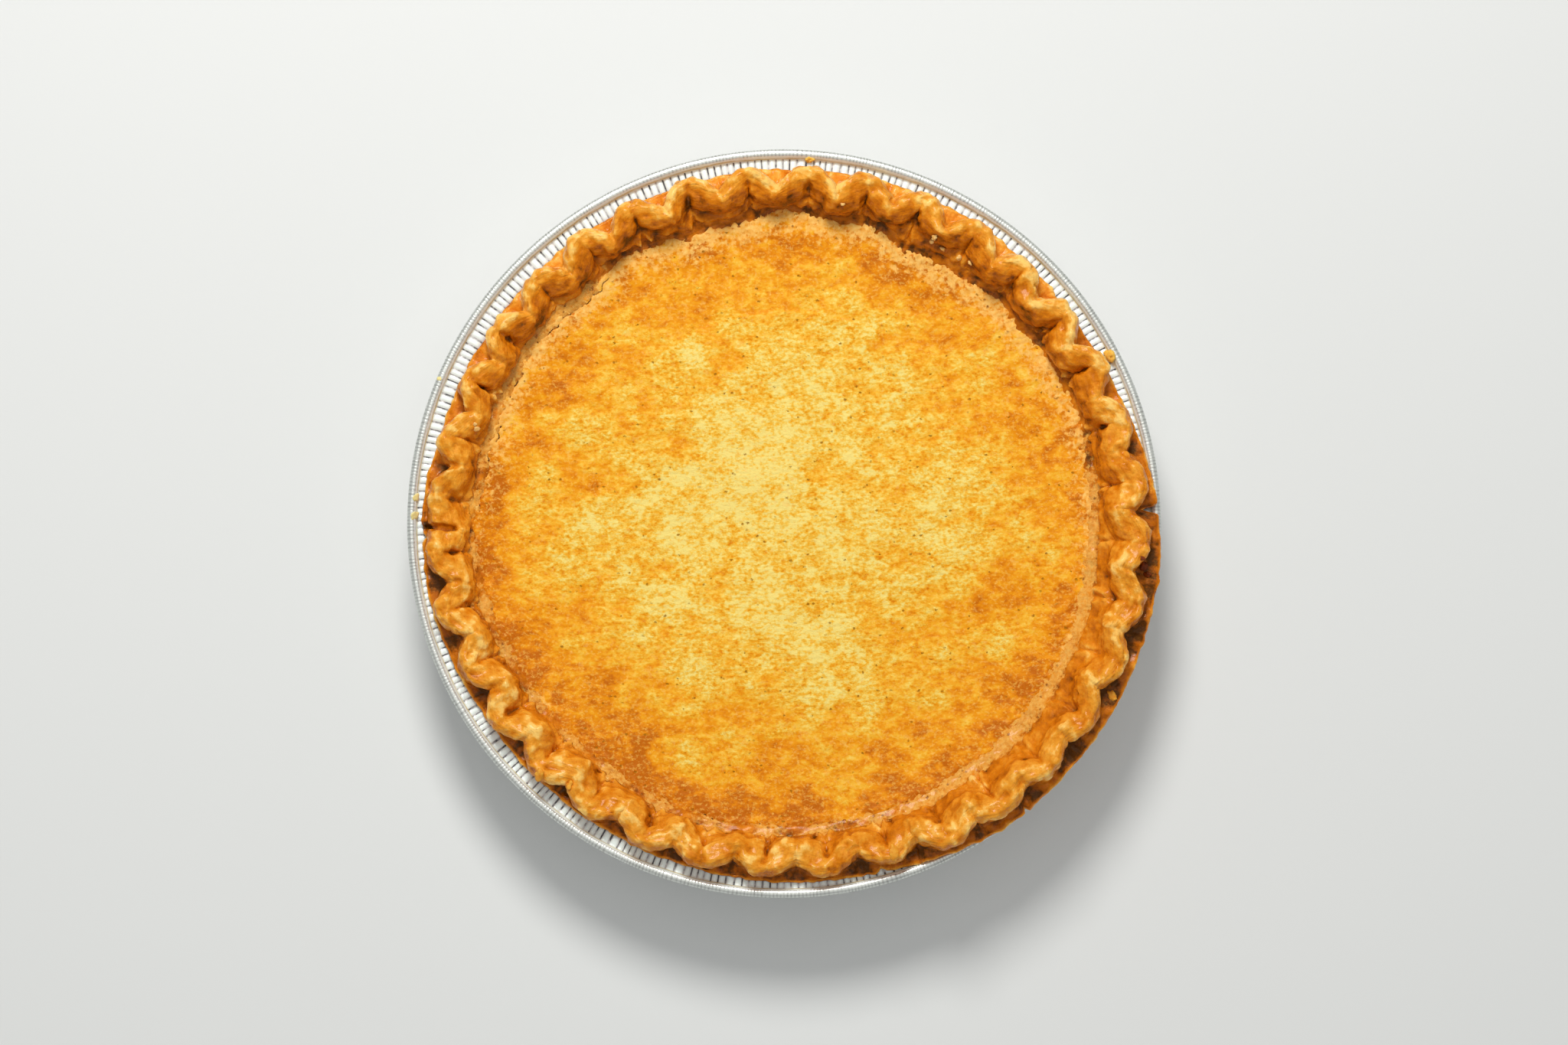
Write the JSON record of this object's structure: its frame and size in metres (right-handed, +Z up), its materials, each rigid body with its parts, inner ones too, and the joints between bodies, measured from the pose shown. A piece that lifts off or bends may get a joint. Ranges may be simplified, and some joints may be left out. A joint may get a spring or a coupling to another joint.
{
  "type": "chess pie",
  "caption": "Whole round custard pie in its ribbed foil pan, with a tall fluted pastry rim that has slumped a little to one side and a set, sandy-edged golden filling.",
  "frame": {"origin": "centre of the pan's flat underside, on the surface the pie rests on", "axes": "+Z up out of the pie, +X toward the right and +Y toward the far side of the pie as it is seen from above"},
  "size_m": [0.232, 0.232, 0.046],
  "materials": {
    "foil": "bright ribbed foil with fine wrinkles and a thin baked-on brown line inside the rim",
    "pastry": "egg-washed golden pastry, glossy on the crests, darker in the folds",
    "filling": "set sugary custard, pale yellow in the middle, mottled amber toward a pale sandy edge"
  },
  "bodies": {
    "root": {"foil_pan": "foil", "pie_crust": "pastry", "chess_filling": "filling"}
  },
  "joints": []
}
